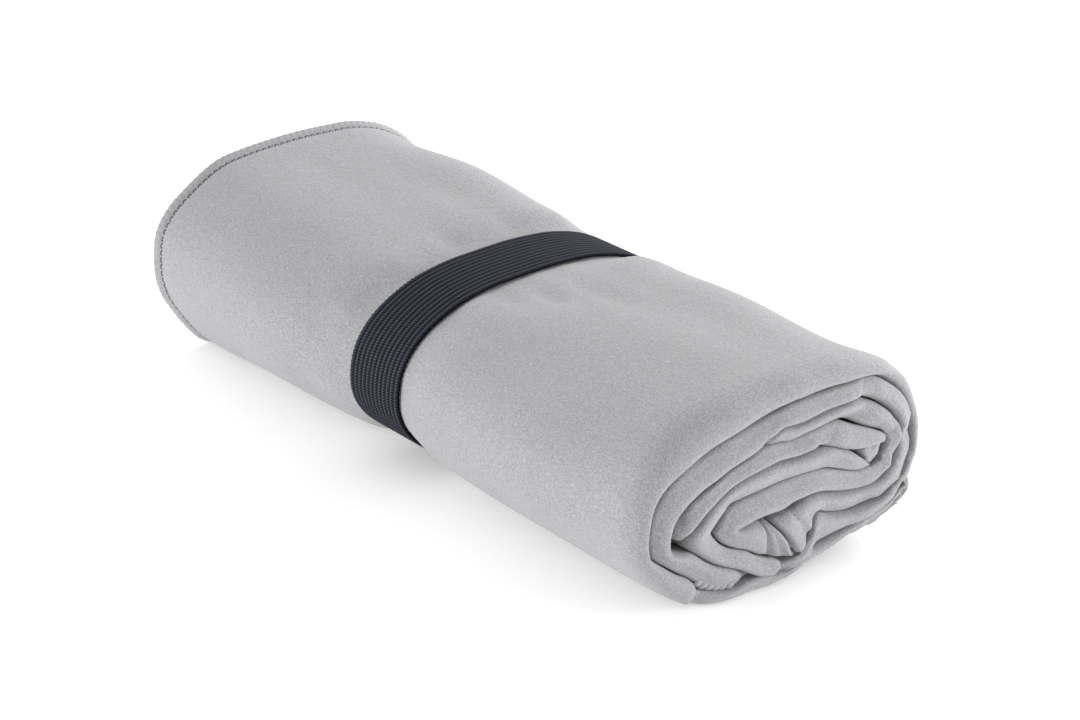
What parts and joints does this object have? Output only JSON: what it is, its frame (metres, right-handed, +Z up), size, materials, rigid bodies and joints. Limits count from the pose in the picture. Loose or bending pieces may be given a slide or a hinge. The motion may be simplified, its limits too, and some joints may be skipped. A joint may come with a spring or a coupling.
{
  "type": "quick dry towel",
  "caption": "Thin suede microfibre towel folded lengthwise, rolled into a flattened oval bundle and held by a knitted elastic band that slides off either end.",
  "frame": {"origin": "middle of the footprint, at the height the bundle rests on", "axes": "+X along the roll towards its folded end, +Z up, +Y towards the side where the towel's tail ends"},
  "size_m": [0.2, 0.097, 0.0547],
  "materials": {
    "suede_cloth": "matt brushed suede microfibre, light grey",
    "overlock_thread": "matt polyester sewing thread, light grey",
    "elastic_knit": "matt ribbed knitted polyester, anthracite",
    "elastic_rubber": "cut rubber thread, dark",
    "band_thread": "matt polyester sewing thread, anthracite"
  },
  "bodies": {
    "roll": {"towel_cloth": "suede_cloth", "long_edge_looper_threads": "overlock_thread", "long_edge_needle_thread": "overlock_thread", "short_edge_looper_threads": "overlock_thread", "short_edge_needle_thread": "overlock_thread"},
    "band": {"band_knit_tape": "elastic_knit", "band_rubber_threads": "elastic_rubber", "band_join_thread": "band_thread"}
  },
  "joints": [
    {"name": "band_slide", "type": "slide", "parent": "roll", "child": "band", "axis": [1, 0, 0], "range_m": [-0.115, 0.118]}
  ]
}
